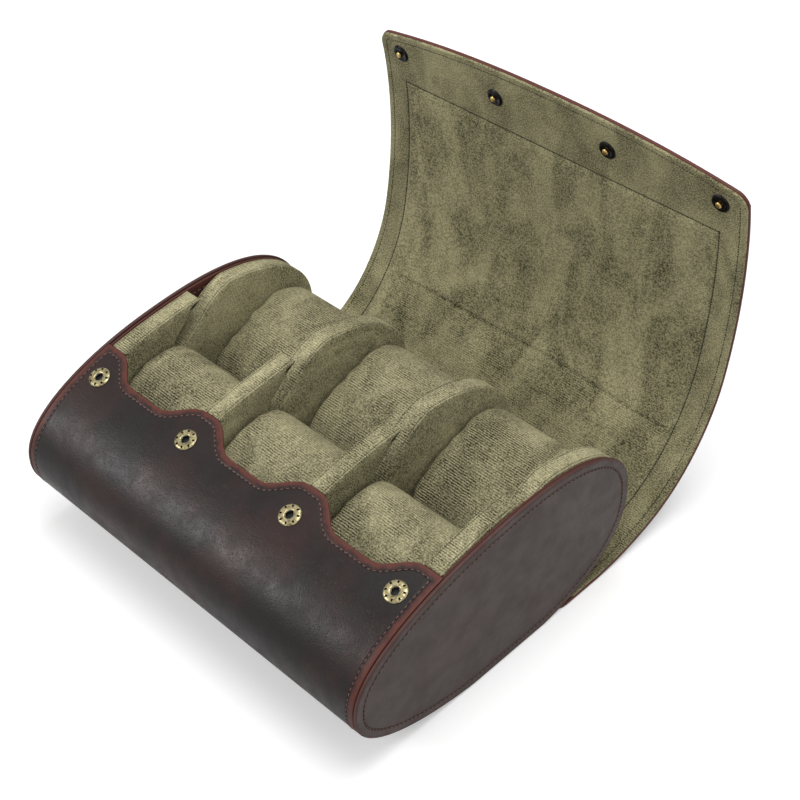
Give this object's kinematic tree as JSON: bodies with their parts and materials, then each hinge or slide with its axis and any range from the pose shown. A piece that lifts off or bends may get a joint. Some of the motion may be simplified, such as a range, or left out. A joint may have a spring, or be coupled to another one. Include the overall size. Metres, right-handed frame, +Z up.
{
  "type": "watch storage box",
  "caption": "Oval leather watch case with suede cushions in two rows between padded dividers and a wrap-over lid closed by press studs.",
  "frame": {"origin": "on the flat of the base, midway between the ends", "axes": "+X along the case towards its right end, +Y from the front to the back where the lid is hinged, +Z up"},
  "size_m": [0.25, 0.2807, 0.205],
  "materials": {
    "leather": "waxed, soft sheen",
    "inner_leather": "matte, burnished",
    "suede": "brushed nap",
    "board": "plain board",
    "brass": "antique",
    "dark_brass": "darkened"
  },
  "bodies": {
    "case": {"body_board": "board", "body_lining": "suede", "body_wrap": "leather", "cushion_back_left": "suede", "cushion_back_middle": "suede", "cushion_back_right": "suede", "cushion_front_left": "suede", "cushion_front_middle": "suede", "cushion_front_right": "suede", "divider_back_left": "suede", "divider_back_right": "suede", "divider_front_left": "suede", "divider_front_right": "suede", "end_cap_left": "leather", "end_cap_right": "leather", "end_facing_left": "inner_leather", "end_facing_right": "inner_leather", "end_pad_back_left": "suede", "end_pad_back_right": "suede", "end_pad_front_left": "suede", "end_pad_front_right": "suede", "socket_1": "brass", "socket_2": "brass", "socket_3": "brass", "socket_4": "brass", "socket_post_1": "dark_brass", "socket_post_2": "dark_brass", "socket_post_3": "dark_brass", "socket_post_4": "dark_brass"},
    "strip_1": {"lid_strip_1_leather": "leather", "lid_strip_1_lining": "suede"},
    "strip_2": {"lid_strip_2_leather": "leather", "lid_strip_2_lining": "suede"},
    "lid": {"lid_board": "board", "lid_leather": "leather", "lid_lining": "suede"},
    "flap": {"lid_flap_leather": "leather", "lid_flap_lining": "suede", "stud_1": "dark_brass", "stud_2": "dark_brass", "stud_3": "dark_brass", "stud_4": "dark_brass", "stud_cap_1": "brass", "stud_cap_2": "brass", "stud_cap_3": "brass", "stud_cap_4": "brass"}
  },
  "joints": [
    {"name": "strip_1_bend", "type": "hinge", "parent": "case", "child": "strip_1", "pos_m": [0, 0.061, 0.0035], "axis": [1, 0, 0], "range_deg": [0, 29.5]},
    {"name": "strip_2_bend", "type": "hinge", "parent": "strip_1", "child": "strip_2", "pos_m": [0, 0.10389, 0.00714], "axis": [1, 0, 0], "range_deg": [0, 33]},
    {"name": "lid_bend", "type": "hinge", "parent": "strip_2", "child": "lid", "pos_m": [0, 0.15032, 0.03273], "axis": [1, 0, 0], "range_deg": [0, 32.5]},
    {"name": "flap_press", "type": "hinge", "parent": "lid", "child": "flap", "pos_m": [0, 0.17821, 0.15723], "axis": [1, 0, 0], "range_deg": [0, 6], "stiffness_Nm_per_rad": 0.3}
  ],
  "couplings": [
    {"joint": "strip_1_bend", "follows": "lid_bend", "ratio": 0.9076},
    {"joint": "strip_2_bend", "follows": "lid_bend", "ratio": 1.0153}
  ]
}
